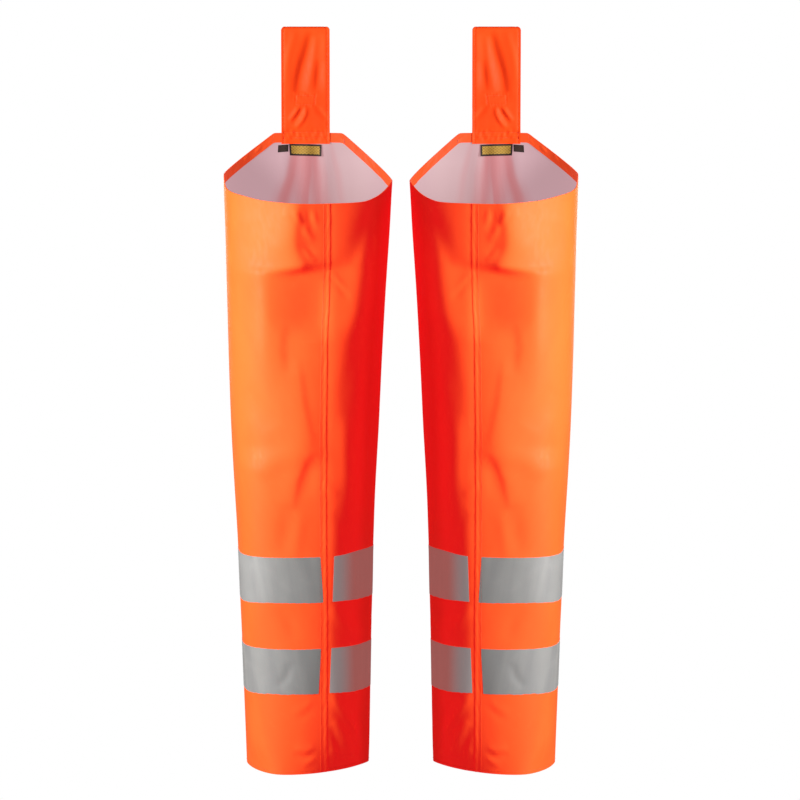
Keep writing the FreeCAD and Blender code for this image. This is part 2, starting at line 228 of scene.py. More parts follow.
# The seam leans in a little under the rim: heights, and how far it lies inwards of the CAD's there.
SEAM_PATH = (-1.13, -0.62, -0.45, -0.33, -0.23), (1.0 * MM, 1.5 * MM, 4.0 * MM, 7.5 * MM, 8.0 * MM)
SEAM_SHARE = 0.615
KNEE, THIGH = -0.560, -0.389
FULLNESS = 1.02
COLUMNS = 480
ROW_STEP = 2 * MM


def stations():
    """Height, centre and half width of the CAD tube, wherever its surface has a ring of corners."""
    points = np.array([v.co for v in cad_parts["left_shell"].data.vertices])
    levels = (HEM, LOWER_LOW[2], LOWER_HIGH[2], UPPER_LOW[2], UPPER_HIGH[2], KNEE, THIGH, CORNER)
    found = []
    for level in levels:
        ring = points[abs(points[:, 2] - level) < 0.6 * MM, 0]
        found.append((level, (ring.min() + ring.max()) / 2, (ring.max() - ring.min()) / 2))
    return np.array(found)


STATIONS = stations()
DEPTH_SHARE = (SHELL_HIGH[1] - SHELL_LOW[1]) / (SHELL_HIGH[0] - SHELL_LOW[0])


def seam_x(z):
    """Where the seam runs, at a line of heights."""
    return SEAM_X + curve(*SEAM_PATH, z)


def shares(x):
    """Positions as shares across, from -1 at the lowest to 1 at the highest."""
    return (x - x.min()) / (x.max() - x.min()) * 2 - 1


def section(z):
    """The leg's outline at one height, and s of each of its points."""
    front = curve(SEAM_DEPTHS, SEAM_CORNERS, np.array([-z]))[0].reshape(2, -1).T
    outline = closed_spline(np.vstack([HIP_ARC, front, INNER_ARC]))
    outline = np.stack([shares(outline[:, 0]), outline[:, 1] * FULLNESS], axis=1)
    start = int(np.argmin(np.hypot(outline[:, 0], outline[:, 1] - 1)))
    across, back = np.roll(outline, -start, axis=0).T
    across, back = np.append(across, across[0]), np.append(back, back[0])
    centre, half = curve(STATIONS[:, 0], STATIONS[:, 1:], np.array([z]))[0]
    x, y = centre + half * across, AXIS_Y + half * DEPTH_SHARE * back
    length = np.concatenate([[0], np.cumsum(np.hypot(np.diff(x), np.diff(y)))])
    front = (y < AXIS_Y) & (np.arange(len(x)) < len(x) * 0.8)
    seam = np.interp(seam_x(np.array([z]))[0], x[front], length[front])
    share = np.interp(length, [0, seam, length[-1]], [0, SEAM_SHARE, 1])
    s = np.arange(COLUMNS) / COLUMNS
    return np.interp(s, share, x), np.interp(s, share, y), np.interp(s, share, length) - seam


def aslant(x, y, z, level):
    """The depths y of the seam side, with the fold under the rim moved up or down across the leg."""
    middle, half = curve(STATIONS[:, 0], STATIONS[:, 1:], z).T
    across = np.clip((x - middle[:, None]) / half[:, None], -1, 1)
    zone = smooth(level, -0.232, -0.290) * smooth(level, -0.440, -0.370) * smooth(y, 0, -0.03)
    source = level - np.interp(across, *ASLANT) * zone
    row = np.clip((z[0] - source) / (z[0] - z[-1]) * (len(z) - 1), 0, len(z) - 1.001)
    r, c = row.astype(int), np.arange(x.shape[1])[None]
    part = row - r
    depth = y / half[:, None]
    return (depth[r, c] * (1 - part) + depth[r + 1, c] * part) * half[:, None]


# The strokes of the seam side. First the bright tongue under the rim, which fades only at its tips.
TONGUE = [
    (1.2, 6, 26, (-152, -228), (-160, -262), (-162, -284), (-156, -308), (-146, -324)),
    (1.4, 5, 14, (-146, -322), (-152, -330), (-168, -334), (-190, -334), (-206, -331)),
]
OUTER_WAVE = [(1.4, 20, 26, (-236, -299), (-226, -328), (-218, -299))]
FOLDS = [
    # the dark hollow below the tongue, and the second tip above the knee
    (-4.0, 16, 32, (-125, -338), (-126, -387), (-128, -440)),
    (-2.2, 26, 9, (-167, -412), (-171, -446), (-168, -488)),
    (2.0, 7, 22, (-158, -465), (-150, -533), (-141, -577), (-137, -602)),
    (2.4, 7, 20, (-135, -604), (-148, -622), (-160, -653), (-168, -695)),
    (-1.4, 12, 12, (-128, -613), (-138, -641), (-146, -680)),
    # gathers where the rim is turned over
    (1.7, 4.5, 3.5, (-160, -236), (-156, -248), (-148, -258)),
    (-0.9, 4, 4, (-152, -238), (-148, -252), (-140, -266)),
    (1.7, 4, 3.5, (-146, -258), (-142, -272), (-132, -284)),
    (-1.5, 4, 4, (-138, -238), (-138, -254), (-130, -268)),
    (1.2, 3.5, 3.5, (-132, -236), (-131, -248), (-126, -258)),
    (0.9, 7, 4, (-180, -250), (-172, -244), (-164, -252)),
    (-0.9, 4, 4, (-144, -288), (-138, -298), (-129, -306)),
    (1.2, 3.5, 3.5, (-146, -296), (-138, -307), (-128, -316)),
    # inner side: a pale swelling below the rim, a slanting crease, and the long hollow beside it
    (3.0, 16, 20, (-54, -289), (-60, -333), (-68, -382), (-78, -426)),
    (-2.6, 10, 14, (-40, -236), (-55, -269), (-75, -323)),
    (1.4, 3.5, 5, (-108, -332), (-98, -343), (-82, -363)),
    (-1.4, 3.5, 5, (-104, -342), (-94, -353), (-78, -375)),
    (-2.6, 12, 16, (-54, -396), (-66, -445), (-78, -514), (-76, -572)),
    (2.0, 12, 12, (-86, -553), (-82, -631), (-74, -709)),
    (1.8, 9, 9, (-54, -680), (-52, -729), (-52, -778)),
    (-1.2, 7, 9, (-100, -700), (-86, -726), (-78, -768)),
    (0.9, 6, 6, (-118, -655), (-108, -668), (-94, -676)),
    # broad waves on the outer side
    (-1.3, 16, 16, (-246, -261), (-240, -289), (-232, -316)),
    (-1.5, 18, 18, (-238, -514), (-216, -538), (-198, -572)),
    (1.2, 18, 18, (-236, -553), (-214, -592), (-206, -651)),
    (-1.2, 12, 12, (-170, -690), (-176, -735), (-184, -770)),
    (0.9, 9, 9, (-150, -700), (-158, -740), (-160, -775)),
    # the lower leg: pulled folds between the bands, and fans of short folds at the seam's end
    (-3.4, 12, 10, (-86, -842), (-70, -866), (-50, -892)),
    (1.8, 7, 8, (-106, -850), (-92, -874), (-70, -907)),
    (-1.0, 9, 9, (-190, -850), (-172, -872), (-160, -900)),
    (-1.0, 7, 7, (-168, -935), (-176, -960), (-190, -975)),
    (0.7, 7, 5, (-134, -993), (-146, -1005), (-168, -1016)),
    (-0.6, 5, 7, (-132, -1001), (-142, -1014), (-160, -1028)),
    (2.6, 6, 5, (-107, -990), (-92, -1016), (-76, -1044), (-62, -1081)),
    (-3.2, 8, 9, (-86, -990), (-70, -1020), (-58, -1050), (-62, -1085)),
    (2.8, 7, 6, (-104, -1030), (-88, -1057), (-78, -1092)),
    (-2.0, 5, 5, (-108, -1040), (-98, -1068), (-94, -1097)),
    (1.9, 5, 5, (-110, -1075), (-90, -1088), (-64, -1092)),
    (1.2, 5, 5, (-132, -1069), (-146, -1075), (-164, -1069)),
    (-1.1, 4, 5, (-131, -1079), (-146, -1085), (-166, -1081)),
    (1.0, 3.5, 3.5, (-131, -1087), (-142, -1094), (-154, -1099)),
]
# Soft folds that hang down the hip side from the strap.
LINING_FOLDS = [
    (-2.2, 9, 9, (-178, -150), (-186, -420)),
    (2.6, 10, 10, (-164, -152), (-166, -420)),
    (-2.6, 8, 8, (-146, -150), (-142, -420)),
    (2.2, 9, 9, (-132, -152), (-124, -420)),
    (-2.4, 8, 8, (-120, -150), (-106, -420)),
    (1.6, 12, 12, (-104, -165), (-86, -420)),
    (1.4, 14, 14, (-206, -165), (-222, -420)),
]


def cloth_table():
    """The outer face of the left leg: points, normals and arc distance from the seam, by row and column."""
    rows = int(math.ceil((PANEL_TOP - HEM) / ROW_STEP)) + 1
    z = np.linspace(PANEL_TOP, HEM, rows)
    outlines = [section(level) for level in z]
    x, y, arc = (np.array([outline[k] for outline in outlines]) for k in range(3))
    level = np.repeat(z[:, None], COLUMNS, axis=1)
    y = AXIS_Y + aslant(x, y - AXIS_Y, z, level)

    def across(a):
        return (np.roll(a, -1, axis=1) - np.roll(a, 1, axis=1)) / 2

    dx, dy = across(x), across(y)
    length = np.hypot(dx, dy)
    out_x, out_y = dy / length, -dx / length
    seam_side = smooth(-out_y, -0.15, 0.25)
    hip_side = smooth(out_y, 0.1, 0.6)
    rise = folded(x, level, FOLDS) + folded(x, level, TONGUE, 0.4) + folded(x, level, OUTER_WAVE, 0.9)
    rise = seam_side * rise + hip_side * folded(x, level, LINING_FOLDS, 0.45)
    slack = smooth(level, HEM, HEM + 0.05) * smooth(level, CORNER - 0.02, CORNER - 0.09)
    drift = waves(np.cos(2 * math.pi * arc / 0.7), level / 0.45, seed=4, count=6, low=0.6, high=1.8)
    rise = rise + 1.3 * MM * drift * slack
    near_seam = abs(x - seam_x(level.ravel()).reshape(level.shape))
    rise = rise - 0.6 * MM * bell(near_seam, 7 * MM) * smooth(-out_y, 0.2, 0.6)
    x = x + rise * out_x
    y = y + rise * out_y
    points = np.stack([x, y, level], axis=-1)
    down = np.gradient(points, axis=0)
    normal = np.cross(across(points), down)
    normal /= np.linalg.norm(normal, axis=-1, keepdims=True)
    if normal[rows // 2, COLUMNS // 2, 1] > 0:
        normal = -normal
    return z, points, normal, arc


LEVELS, POINTS, NORMALS, ARC = cloth_table()


def read(table, row, column):
    """A table of points or numbers, read between its rows and columns. It may be read on past its last
    column, into its first."""
    r, c = row.astype(int), column.astype(int)
    down, along = row - r, column - c
    if table.ndim == 3:
        down, along = down[..., None], along[..., None]
    c, after = c % table.shape[1], (c + 1) % table.shape[1]
    top = table[r, c] * (1 - along) + table[r, after] * along
    low = table[r + 1, c] * (1 - along) + table[r + 1, after] * along
    return top * (1 - down) + low * down


def sample(table, s, z):
    """A table of the cloth at arrays of s and z."""
    s, z = np.broadcast_arrays(np.asarray(s, float), np.asarray(z, float))
    row = (LEVELS[0] - z) / (LEVELS[0] - LEVELS[-1]) * (len(LEVELS) - 1)
    return read(table, np.clip(row, 0, len(LEVELS) - 1.001), (s % 1) * COLUMNS)


def cloth(s, z, lift=0.0):
    """Points at lift outside the cloth's outer face."""
    lift = np.asarray(lift, float)
    return sample(POINTS, s, z) + sample(NORMALS, s, z) * lift[..., None]


def s_at(x, z, first, last):
    """s of the points at arrays of x and z, looked for between two shares of the way round."""
    x, z = np.broadcast_arrays(np.asarray(x, float), np.asarray(z, float))
    s = np.arange(int(COLUMNS * first), int(COLUMNS * last)) / COLUMNS
    found = np.empty(x.shape)
    for index in np.ndindex(x.shape):
        across = sample(POINTS, s, z[index])[:, 0]
        sign = np.sign(across[-1] - across[0])
        found[index] = np.interp(sign * x[index], sign * across, s)
    return found


def hip_side_s(x, z):
    """s on the hip side, below 0 towards the inner side."""
    return s_at(x, z, -0.2, 0.2)


# The rim on the seam side: shares across the leg, and how far it has dropped below the corners there,
# as a share of its full dip.
RIM_DIP = 25 * MM
RIM_ACROSS = (-1, -0.97, -0.90, -0.78, -0.50, -0.20, 0.15, 0.50, 0.66, 0.80, 0.90, 1)
RIM_SHARE = (-0.42, 0.22, 0.43, 0.57, 0.83, 0.93, 1, 1, 0.97, 0.78, 0.50, 0)
# The hip panel's edge: its turning points across the leg, and how far its outer end is above the corner.
PANEL_RUNS = (-1, -0.43, 0.40, 1)
SHOULDER = 11.5 * MM


def rim_curve():
    """Height of the rim at each column: a trapezoid on the hip side, and a dip on the seam side."""
    row = int(np.argmin(abs(LEVELS - CORNER)))
    x = POINTS[row, :, 0]
    u = shares(x)
    outer, inner = int(np.argmin(x)), int(np.argmax(x))
    column = np.arange(COLUMNS)
    seam_side = (column > outer) & (column < inner)
    dip = curve(RIM_ACROSS, RIM_SHARE, u)
    panel = np.interp(u, PANEL_RUNS, (CORNER + SHOULDER, PANEL_TOP, PANEL_TOP, CORNER))
    rim = np.where(seam_side, CORNER - RIM_DIP * dip, panel)
    kernel = np.array([1, 4, 6, 4, 1]) / 16
    for _ in range(2):
        rim = sum(w * np.roll(rim, k - 2) for k, w in enumerate(kernel))
    return rim, u, seam_side


RIM, ACROSS, ON_SEAM_SIDE = rim_curve()
# from the seam round the inner side to the middle of the hip
HIP_ARC_LENGTH = float(ARC[0, -1])


def rim(s):
    """Height of the rim at an array of s."""
    return np.interp(np.asarray(s, float) % 1, np.arange(COLUMNS + 1) / COLUMNS, np.append(RIM, RIM[0]))


# ---------------------------------------------------------------- meshes

SHARP_EDGE = math.radians(50)
COLLECTIONS = {side: bpy.data.collections.new(f"{side}_pieces") for side in SIDES}
for collection in COLLECTIONS.values():
    bpy.context.scene.collection.children.link(collection)


def slab(outer, inner, uv, wrap=False, inner_paint=0):
    """A closed sheet between two grids of points. Returns points, faces, UVs of each corner, paints.
    On a grid that runs down and along s, the first grid faces outwards."""
    rows, columns = outer.shape[:2]
    wide, count = columns + wrap, rows * columns
    place = np.arange(rows * wide).reshape(rows, wide)
    point = (place // wide * columns + place % wide % columns).ravel()
    corners = place[:-1, :-1], place[1:, :-1], place[1:, 1:], place[:-1, 1:]
    cells = np.stack(corners, axis=-1).reshape(-1, 4)
    faces = [point[cells], point[cells[:, ::-1]] + count]
    places = [cells, cells[:, ::-1]]
    edges = [place[0], place[-1, ::-1]] + ([] if wrap else [place[::-1, 0], place[:, -1]])
    for edge in edges:
        strip = np.stack([edge[:-1], edge[1:], edge[1:], edge[:-1]], axis=1)
        faces.append(point[strip] + (0, 0, count, count))
        places.append(strip)
    paints = [np.full(len(part), inner_paint if k == 1 else 0) for k, part in enumerate(faces)]
    points = np.concatenate([outer.reshape(-1, 3), inner.reshape(-1, 3)])
    return points, np.concatenate(faces), uv.reshape(-1, 2)[np.concatenate(places)], np.concatenate(paints)


def build(name, points, faces, uvs, paints, materials, side):
    """One mesh object. The right side's is the mirror image."""
    if side == "right":
        points = points * (-1, 1, 1)
        faces, uvs = faces[:, ::-1], uvs[:, ::-1]
    mesh = bpy.data.meshes.new(f"{side}_{name}")
    mesh.from_pydata(points.tolist(), [], faces.tolist())
    layer = mesh.uv_layers.new(name="cloth")
    layer.data.foreach_set("uv", uvs.reshape(-1).astype(np.float32))
    for material in materials:
        mesh.materials.append(material)
    mesh.polygons.foreach_set("material_index", paints.tolist())
    mesh.polygons.foreach_set("use_smooth", [True] * len(faces))
    mesh.validate()
    mesh.set_sharp_from_angle(angle=SHARP_EDGE)
    item = bpy.data.objects.new(f"{side}_{name}", mesh)
    COLLECTIONS[side].objects.link(item)
    return item


def both(name, shape, materials, slot, nodes, ride=None, blend=None):
    """A piece on each side. nodes are the CAD nodes it stands for, and ride is the body it moves with. With
    blend instead, which names two bodies and the points where one ends and the other begins, the piece is
    only baked in place."""
    for side in SIDES:
        item = build(name, *shape, materials, side)
        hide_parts(*(f"{side}_{node}" for node in nodes))
        if ride:
            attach(item, f"{side}_{ride}")
        else:
            first, second, start, end = blend
            sign = 1 if side == "left" else -1
            start, end = ((sign * x, y, z) for x, y, z in (start, end))
            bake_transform(item)


def normals_of(grid):
    """Outward unit normals of a grid of points that runs down and along s."""
    normal = np.cross(np.gradient(grid, axis=0), np.gradient(grid, axis=1))
    return normal / np.linalg.norm(normal, axis=-1, keepdims=True)


class Surface:
    """A grid of points read by two coordinates: across, in columns, and down, in rows."""

    def __init__(self, across, down, points):
        self.across, self.down, self.points = across, down, points
        self.normals = normals_of(points)

    def at(self, across, down, lift=0.0):
        across, down, lift = np.broadcast_arrays(*(np.asarray(a, float) for a in (across, down, lift)))
        column = np.interp(across, self.across, np.arange(len(self.across)))
        row = np.interp(down, self.down, np.arange(len(self.down)))
        place = np.minimum(row, len(self.down) - 1 - 1e-9), np.minimum(column, len(self.across) - 1 - 1e-9)
        return read(self.points, *place) + read(self.normals, *place) * lift[..., None]

    def row(self, across, down):
        """Stitches along a line on the surface."""
        points = self.at(across, down)
        return stitches(points, self.at(across, down, 1.0) - points)


def stitches(points, normals, pitch=3.1 * MM, length=2.4 * MM, radius=0.24 * MM):
    """Thread along a line of points, as separate stitches that dip into the cloth at both ends."""
    travelled = np.concatenate([[0], np.cumsum(np.linalg.norm(np.diff(points, axis=0), axis=1))])
    count = max(int(travelled[-1] / pitch), 1)
    rings, spokes = 5, 6
    t = np.linspace(0, 1, rings)
    place = (np.arange(count)[:, None] + 0.5) * travelled[-1] / count + (t - 0.5) * length

    def spread(table):
        return np.stack([np.interp(place, travelled, table[:, k]) for k in range(3)], axis=-1)

    centre, up = spread(points), spread(normals)
    up /= np.linalg.norm(up, axis=-1, keepdims=True)
    tangent = np.gradient(centre, axis=1)
    tangent /= np.linalg.norm(tangent, axis=-1, keepdims=True)
    aside = np.cross(up, tangent)
    arch = np.sin(math.pi * t)[None, :, None]
    centre = centre + up * (radius * (1.5 * arch - 0.7))
    turn = np.arange(spokes) / spokes * 2 * math.pi
    ring = np.cos(turn)[:, None] * up[:, :, None, :] + np.sin(turn)[:, None] * aside[:, :, None, :]
    body = centre[:, :, None, :] + ring * (radius * (0.5 + 0.5 * arch))[..., None]
    index = np.arange(count * rings * spokes).reshape(count, rings, spokes)
    beside = np.roll(index, -1, axis=2)
    faces = np.stack([index[:, :-1], beside[:, :-1], beside[:, 1:], index[:, 1:]], axis=-1).reshape(-1, 4)
    uv = np.stack([np.repeat(place.ravel(), spokes), np.tile(turn * radius, count * rings)], axis=1)
    return body.reshape(-1, 3), faces, uv[faces], np.zeros(len(faces), int)


def joined(*shapes):
    """Several shapes as one."""
    points, faces, uvs, paints = zip(*shapes)
    starts = np.cumsum([0] + [len(part) for part in points])
    faces = [part + start for part, start in zip(faces, starts)]
    return tuple(np.concatenate(parts) for parts in (points, faces, uvs, paints))


# ---------------------------------------------------------------- materials

def times(colour, share):
    return tuple(channel * share for channel in colour)


class Paint:
    """A material under construction. A value may be a number, a colour, a tuple or a node's output."""

    def __init__(self, name, **constants):
        self.material = bpy.data.materials.new(name)
        self.material.use_nodes = True
        self.tree = self.material.node_tree
        self.shader = self.tree.nodes["Principled BSDF"]
        self.paint(**constants)

    def put(self, socket, value):
        if isinstance(value, bpy.types.NodeSocket):
            self.tree.links.new(value, socket)
        else:
            socket.default_value = (*value, 1) if socket.type == "RGBA" else value

    def paint(self, **values):
        """Sets the shader's own sockets. Returns the material."""
        for key, value in values.items():
            self.put(self.shader.inputs[key.replace("_", " ")], value)
        return self.material

    def node(self, kind, *values, **settings):
        node = self.tree.nodes.new("ShaderNode" + kind)
        for key, value in settings.items():
            setattr(node, key, value)
        sockets = [socket for socket in node.inputs if socket.enabled]
        for socket, value in zip(sockets, values):
            self.put(socket, value)
        return node

    def math(self, operation, *values):
        return self.node("Math", *values, operation=operation).outputs[0]

    def scaled(self, source, *scale):
        return self.node("VectorMath", source, scale, operation="MULTIPLY").outputs[0]

    def noise(self, source, scale, detail=2.0, roughness=0.5):
        return self.node("TexNoise", source, scale, detail, roughness).outputs["Fac"]

    def span(self, value, low, high, to_low=0.0, to_high=1.0):
        node = self.node("MapRange", value, low, high, to_low, to_high, interpolation_type="SMOOTHSTEP")
        return node.outputs[0]

    def mix(self, share, a, b):
        node = self.node("Mix", data_type="RGBA")
        for place, value in ((0, share), (6, a), (7, b)):
            self.put(node.inputs[place], value)
        return node.outputs[2]

    def bump(self, height, distance, strength=1.0, before=None):
        node = self.node("Bump")
        values = {"Strength": strength, "Distance": distance, "Height": height}
        if before is not None:
            values["Normal"] = before
        for name, value in values.items():
            self.put(node.inputs[name], value)
        return node.outputs[0]

    def cloth(self):
        """The cloth's own map, in metres from the seam and metres of height."""
        return self.node("UVMap", uv_map="cloth").outputs[0]

    def weave(self, source, across, along):
        """A plain weave's height, for threads this far apart."""
        threads = self.scaled(source, math.pi / across, math.pi / along, 0)
        x, y, _ = self.node("SeparateXYZ", threads).outputs
        over = self.math("MULTIPLY", self.math("SINE", x), self.math("SINE", y))
        return self.math("MULTIPLY_ADD", over, 0.5, 0.5)

    def fabric(self, source):
        """The bump of the leggings' own fine weave."""
        return self.bump(self.weave(source, 0.55 * MM, 0.55 * MM), 0.05 * MM, 0.4)


def orange_cloth(name, base, deep, glow, tint, gloss, shade_between_legs=0.0):
    """Coated high-visibility fabric: fine weave, cloudy colour, soft gloss, and a painted glow for its
    fluorescent light.
    shade_between_legs is the share of that painted glow it loses between the legs, as painted shade there."""
    paint = Paint(name, Specular_IOR_Level=gloss)
    uv = paint.cloth()
    around, _, _ = paint.node("SeparateXYZ", uv).outputs
    # painted shade: between marks the inner side, between the legs, where the painted glow is dimmed
    between = paint.math("MULTIPLY", paint.span(around, 0.060, 0.095), paint.span(around, 0.28, 0.20))
    cloudy = paint.noise(paint.scaled(uv, 1, 0.45, 0), 11.0, 3.0)
    grain = paint.noise(paint.scaled(uv, 1, 0.3, 0), 170.0, 4.0, 0.65)
    rubbed = paint.noise(paint.scaled(uv, 1, 0.7, 0), 34.0, 5.0, 0.6)
    tone = paint.mix(paint.span(cloudy, 0.38, 0.66), base, deep)
    pale = (min(1, base[0] * 1.05), base[1] * 1.5, base[2] * 2.0)
    crumple = paint.bump(paint.noise(uv, 48.0, 3.0, 0.55), 0.6 * MM, 0.35, paint.fabric(uv))
    # painted light: the emission glows with no lamp, for the dye's fluorescence and for light on shaded
    # parts
    return paint.paint(
        Emission_Color=paint.mix(between, tint, times(tint, 1 - shade_between_legs)),
        Emission_Strength=glow,
        Base_Color=paint.mix(paint.span(rubbed, 0.58, 0.80, 0.0, 0.25), tone, pale),
        Roughness=paint.span(grain, 0.25, 0.75, 0.50, 0.64),
        Normal=paint.bump(grain, 0.15 * MM, 0.3, crumple),
    )


def coating():
    """The pinkish grey coating inside. A painted glow stands in for the light that comes through the cloth,
    streaked and reddest under the strap.
    """
    paint = Paint("inner_coating", Specular_IOR_Level=0.2)
    uv = paint.cloth()
    across, height, _ = paint.node("SeparateXYZ", uv).outputs
    from_hip = paint.math("SUBTRACT", across, HIP_ARC_LENGTH)
    below = paint.math("SUBTRACT", PANEL_TOP + 0.10, height)
    fan = paint.math("DIVIDE", from_hip, below)
    under_strap = paint.span(paint.math("ABSOLUTE", fan), 0.34, 0.18)
    rays = paint.node("CombineXYZ", fan, paint.math("MULTIPLY", height, 0.5), 0.0).outputs[0]
    streak = paint.noise(rays, 6.5, 1.5, 0.4)
    cloud = paint.noise(paint.scaled(uv, 1, 0.3, 0), 7.0, 2.0, 0.5)
    # painted light: through and red are emission colours, the light coming through the cloth painted on
    through = paint.mix(paint.span(from_hip, -0.05, 0.05), (0.46, 0.295, 0.305), (0.49, 0.285, 0.315))
    through = paint.mix(paint.span(cloud, 0.40, 0.65, 0.0, 0.35), through, (0.46, 0.31, 0.335))
    red = paint.math("MULTIPLY", under_strap, paint.span(streak, 0.36, 0.62, 0.1, 1.0))
    speck = paint.noise(uv, 900.0, 3.0, 0.7)
    tone = paint.mix(red, (0.10, 0.070, 0.078), (0.11, 0.045, 0.05))
    return paint.paint(
        Emission_Color=paint.mix(red, through, (0.46, 0.17, 0.18)),
        Emission_Strength=1.0,
        Base_Color=paint.mix(paint.span(speck, 0.45, 0.75, 0.0, 0.35), tone, (0.15, 0.115, 0.12)),
        Roughness=paint.span(speck, 0.3, 0.7, 0.5, 0.68),
        Normal=paint.fabric(uv),
    )


def reflective_tape():
    """Silver tape of fine glass beads, heat-sealed to the cloth, with soft streaks and scuffs. A painted
    glow lights its shaded inner side, reddest where it stands in for red light bounced from the other
    legging.
    """
    paint = Paint("reflective_tape", Metallic=0.2, Specular_IOR_Level=0.3)
    uv = paint.cloth()
    across, _, _ = paint.node("SeparateXYZ", uv).outputs
    # painted light: beside marks the shaded inner side, where the glow is stronger, and rosy the part
    # painted red as bounced light
    beside = paint.span(across, 0.22, 0.14)
    rosy = paint.math("MULTIPLY", paint.span(across, 0.020, 0.060), beside)
    back = paint.mix(beside, (0.060, 0.060, 0.060), (0.200, 0.165, 0.165))
    streak = paint.noise(paint.scaled(uv, 1, 0.10, 0), 42.0, 3.0, 0.5)
    blotch = paint.noise(uv, 30.0, 4.0, 0.6)
    beads = paint.noise(uv, 2600.0, 2.0, 0.6)
    tone = paint.mix(paint.span(streak, 0.35, 0.70), (0.245, 0.246, 0.244), (0.200, 0.201, 0.204))
    tone = paint.mix(paint.span(blotch, 0.55, 0.75, 0.0, 0.3), tone, (0.30, 0.297, 0.294))
    soft = paint.bump(paint.noise(uv, 70.0, 3.0, 0.5), 0.4 * MM, 0.3)
    return paint.paint(
        Emission_Color=paint.mix(rosy, back, (0.270, 0.082, 0.074)),
        Emission_Strength=1.0,
        Base_Color=paint.mix(paint.span(beads, 0.35, 0.7, 0.0, 0.35), tone, (0.33, 0.33, 0.33)),
        Roughness=paint.span(blotch, 0.3, 0.7, 0.48, 0.62),
        Normal=paint.bump(beads, 0.04 * MM, 0.5, soft),
    )


def thread(name, colour):
    """Twisted polyester thread."""
    paint = Paint(name, Roughness=0.55, Sheen_Weight=0.1)
    twist = paint.noise(paint.node("TexCoord").outputs["Object"], 900.0, 2.0)
    tone = paint.mix(paint.span(twist, 0.35, 0.65), colour, times(colour, 0.72))
    return paint.paint(Base_Color=tone, Normal=paint.bump(twist, 0.1 * MM, 0.6))


def woven_label(name, extent, field, border, margin):
    """A blank woven label: a field of small checks inside a darker border, with the ribs of its weave."""
    paint = Paint(name, Roughness=0.7, Specular_IOR_Level=0.2)
    uv = paint.cloth()
    soft = margin + 0.3 * MM
    inside = 1.0
    for place, length in zip(paint.node("SeparateXYZ", uv).outputs, extent):
        for start, end in ((margin, soft), (length - margin, length - soft)):
            inside = paint.math("MULTIPLY", inside, paint.span(place, start, end))
    rough = paint.noise(uv, 700.0, 3.0, 0.6)
    shade = paint.mix(paint.span(rough, 0.35, 0.7, 0.0, 0.45), field, times(field, 0.6))
    checks = paint.span(paint.weave(uv, 2.6 * MM, 2.1 * MM), 0.50, 0.62, 0.0, 0.55)
    ribs = paint.bump(paint.weave(uv, 0.5 * MM, 0.35 * MM), 0.12 * MM, 0.7)
    return paint.paint(Base_Color=paint.mix(inside, border, paint.mix(checks, shade, border)), Normal=ribs)


def closure_tape(name, base, tip, scale, distance):
    """Hook or loop tape: a dense pile of small loops or stiff hooks."""
    paint = Paint(name, Roughness=0.8, Specular_IOR_Level=0.15)
    cells = paint.node("TexVoronoi", paint.node("TexCoord").outputs["Object"])
    cells.inputs["Scale"].default_value = scale
    height = cells.outputs["Distance"]
    # painted light: a faint orange-red glow of its own; the pile is painted darker away from the loops'
    # tops, as painted shade
    return paint.paint(
        Emission_Color=(1, 0.02, 0.006),
        Emission_Strength=0.26,
        Base_Color=paint.mix(paint.span(height, 0.1, 0.6), tip, base),
        Normal=paint.bump(height, distance, 0.9),
    )


def sealing_tape():
    """The thin glossy tape that is welded over the seam, on the inside."""
    paint = Paint("seam_sealing_tape", Specular_IOR_Level=0.5, Coat_Weight=0.2, Coat_Roughness=0.25)
    ripple = paint.noise(paint.scaled(paint.cloth(), 1, 0.3, 0), 120.0, 3.0, 0.6)
    return paint.paint(
        Base_Color=paint.mix(paint.span(ripple, 0.35, 0.7), (0.56, 0.38, 0.40), (0.64, 0.48, 0.50)),
        Roughness=paint.span(ripple, 0.3, 0.7, 0.30, 0.42),
        Normal=paint.bump(ripple, 0.2 * MM, 0.4),
    )


def label_box(name):
    """A label's lowest and highest corner, and its width and height."""
    low, high = box(name)
    return low, high, (high - low)[[0, 2]]


BRAND_BOX, SIZE_BOX = label_box("left_brand_label_blank"), label_box("left_size_label_blank")
# Painted light: each cloth's glow is an emission strength; the trim's lights the facings inside the rim,
# which the key light misses.
ORANGE = orange_cloth(
    "orange_cloth", (0.75, 0.125, 0.018), (0.73, 0.108, 0.014), 0.62, (1, 0.005, 0.012), 0.16, 0.26
)
TRIM = orange_cloth(
    "orange_trim", (0.30, 0.038, 0.005), (0.28, 0.030, 0.004), 0.58, (1, 0.080, 0.022), 0.10
)
STRAP = orange_cloth(
    "strap_cloth", (0.55, 0.062, 0.004), (0.53, 0.050, 0.003), 0.34, (1, 0.005, 0.010), 0.09
)
COATING = coating()
TAPE = reflective_tape()
SEALING = sealing_tape()
THREAD = thread("orange_thread", (0.80, 0.070, 0.010))
# Painted shade: a darker copy of the orange thread, for the stitch rows that lie in shade.
DARK_THREAD = thread("shaded_thread", (0.74, 0.060, 0.010))
BRAND = woven_label("blank_label", BRAND_BOX[2], (0.36, 0.22, 0.035), (0.020, 0.012, 0.010), 2.6 * MM)
SMALL = woven_label("blank_size_label", SIZE_BOX[2], (0.030, 0.017, 0.012), (0.016, 0.010, 0.009), 1.6 * MM)
LOOPS = closure_tape("loop_tape", (0.55, 0.05, 0.01), (0.85, 0.12, 0.03), 1500.0, 0.5 * MM)
HOOKS = closure_tape("hook_tape", (0.50, 0.06, 0.02), (0.80, 0.14, 0.05), 800.0, 0.8 * MM)


# ---------------------------------------------------------------- the leg

